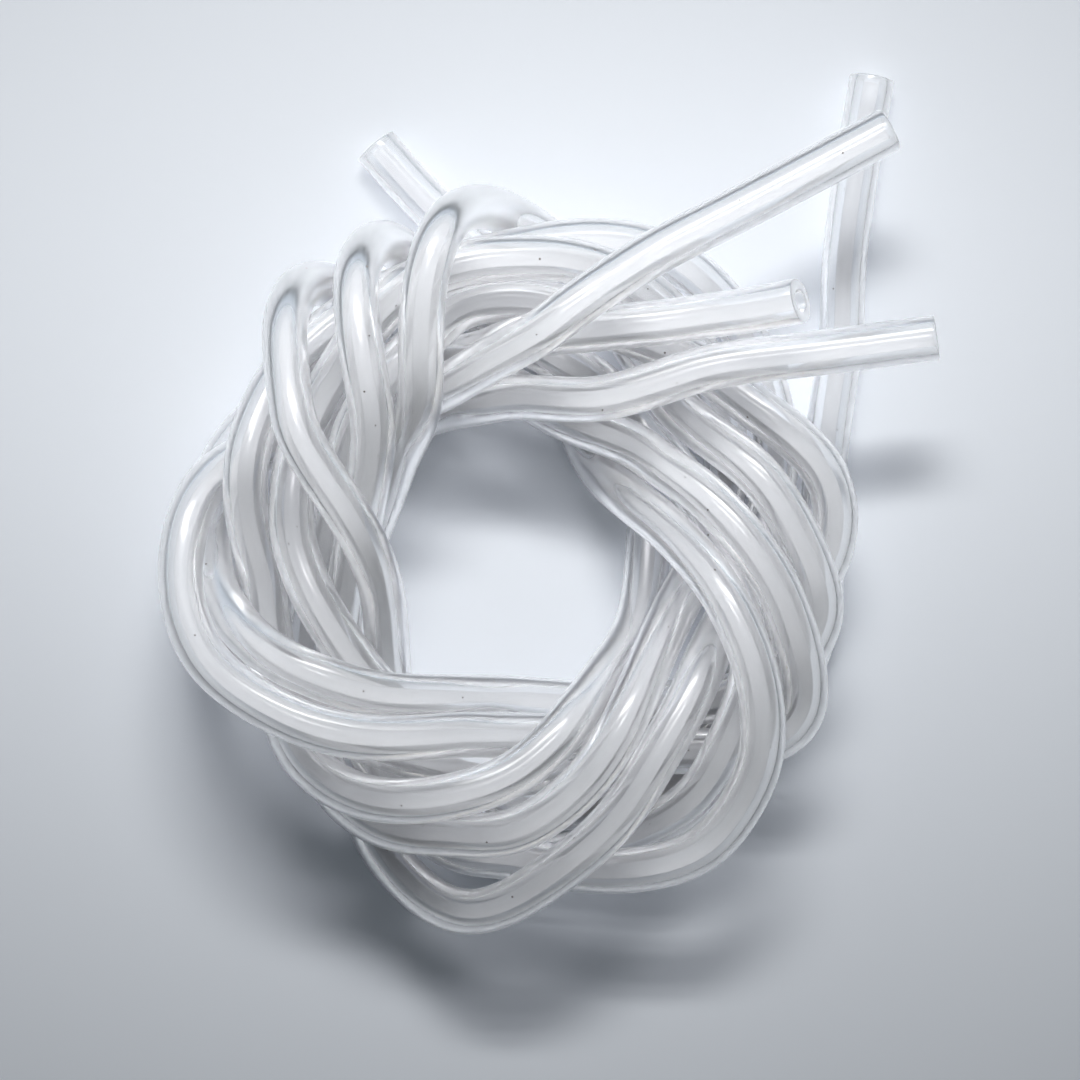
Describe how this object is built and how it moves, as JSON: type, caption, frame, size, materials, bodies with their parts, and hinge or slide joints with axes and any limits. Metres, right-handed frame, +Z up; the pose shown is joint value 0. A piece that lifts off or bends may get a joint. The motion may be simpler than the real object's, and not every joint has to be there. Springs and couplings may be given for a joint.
{
  "type": "silicone tubing coil",
  "caption": "Hand-wound wreath of soft translucent silicone tubing, lying flat, with cut ends standing out of one side.",
  "frame": {"origin": "centre of the wreath's eye, on the surface that the wreath lies on", "axes": "+Z up out of the surface, along the eye's axis; the cut ends stand out towards +Y and +X"},
  "size_m": [0.0686, 0.0772, 0.019],
  "materials": {
    "silicone": "smooth extruded, translucent, slightly glossy"
  },
  "bodies": {
    "root": {"tube_1": "silicone", "tube_2": "silicone", "tube_3": "silicone"}
  },
  "joints": []
}
